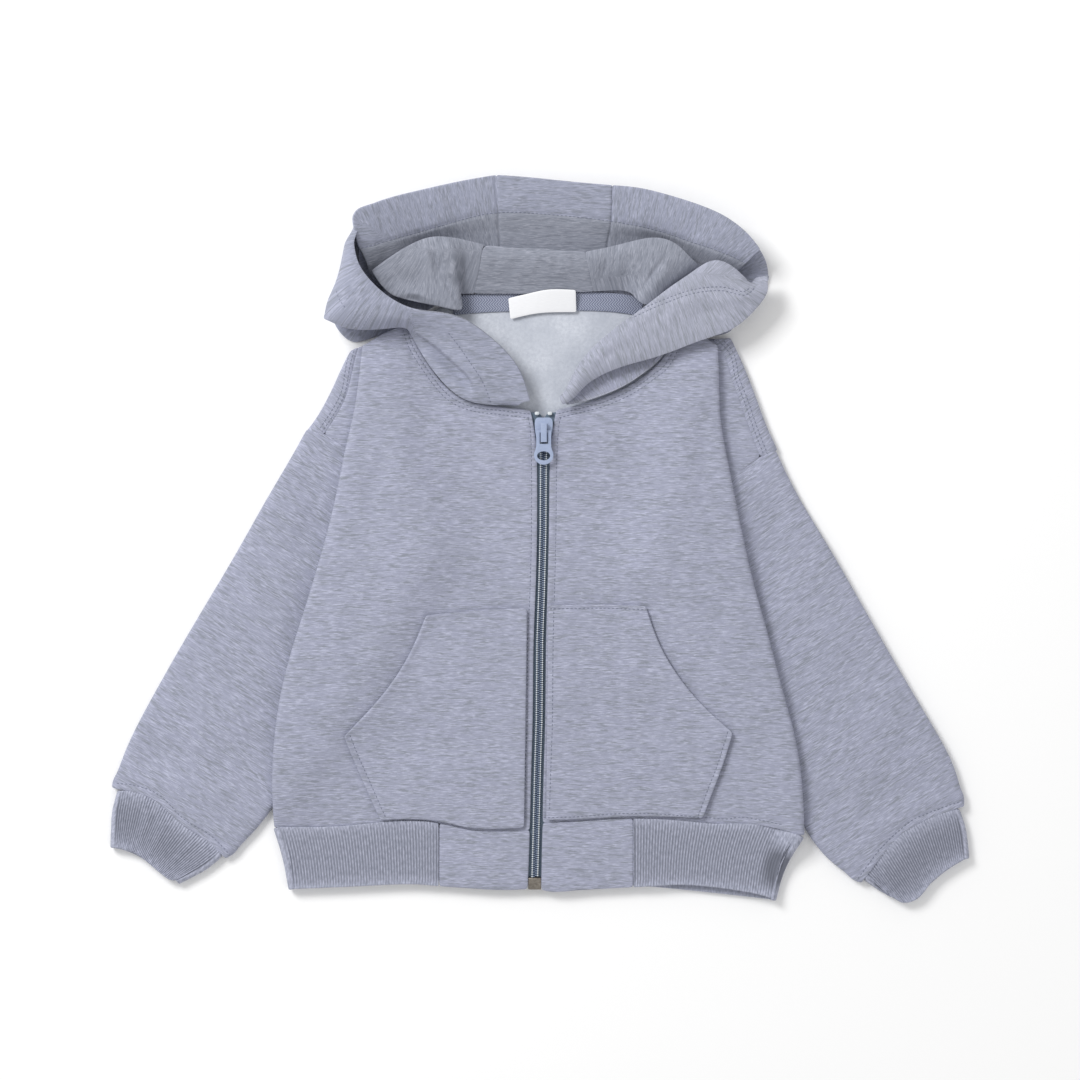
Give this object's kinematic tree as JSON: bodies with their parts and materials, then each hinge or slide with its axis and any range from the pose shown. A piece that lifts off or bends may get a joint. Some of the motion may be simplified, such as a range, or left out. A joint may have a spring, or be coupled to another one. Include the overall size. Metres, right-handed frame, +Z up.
{
  "type": "toddler's zip hoodie",
  "caption": "Zip-front hooded sweatshirt for a toddler, laid flat with its sleeves turned down, hood opened out, slanted front pockets and ribbed cuffs and hem.",
  "frame": {"origin": "middle of the whole outline, on the surface that the garment lies on", "axes": "+X across the garment from the sleeve on the picture's left to the one on its right, +Y from the hem to the hood, +Z up from the surface"},
  "size_m": [0.6016, 0.5072, 0.0411],
  "materials": {
    "heather_cloth": "matte heather knit",
    "hood_lining": "matte heather knit",
    "rib_knit": "matte rib knit",
    "neck_tape": "matte herringbone weave",
    "woven_label": "smooth satin weave",
    "zip_tape": "matte woven tape",
    "zip_coil": "nylon coil",
    "zip_stop": "moulded",
    "pewter": "dark satin metal",
    "zip_enamel": "satin enamel"
  },
  "bodies": {
    "garment": {"front_left": "heather_cloth", "front_right": "heather_cloth", "back": "heather_cloth", "pocket_left": "heather_cloth", "pocket_right": "heather_cloth", "hem_rib": "rib_knit", "hem_tab_left": "heather_cloth", "hem_tab_right": "heather_cloth", "sleeve_left": "heather_cloth", "cuff_left": "rib_knit", "sleeve_right": "heather_cloth", "cuff_right": "rib_knit", "back_shoulder_left": "heather_cloth", "front_shoulder_left": "heather_cloth", "back_shoulder_right": "heather_cloth", "front_shoulder_right": "heather_cloth", "hood_left": "heather_cloth", "hood_lining_left_front": "hood_lining", "hood_right": "heather_cloth", "hood_lining_right_front": "hood_lining", "hood_back_left": "heather_cloth", "hood_center": "heather_cloth", "hood_back_right": "heather_cloth", "hood_lining_left": "hood_lining", "hood_lining_center": "hood_lining", "hood_lining_right": "hood_lining", "neck_tape": "neck_tape", "label": "woven_label", "zip_tape_left": "zip_tape", "zip_coil_left": "zip_coil", "zip_stop_left": "zip_stop", "zip_tape_right": "zip_tape", "zip_coil_right": "zip_coil", "zip_stop_right": "zip_stop", "zip_box": "pewter", "zip_slider": "zip_enamel"},
    "pull": {"zip_pull": "zip_enamel"}
  },
  "joints": [
    {"name": "zip_pull_hinge", "type": "hinge", "parent": "garment", "child": "pull", "pos_m": [0.00268, 0.07564, 0.012], "axis": [-1, 0, 0], "range_deg": [0, 160]}
  ]
}
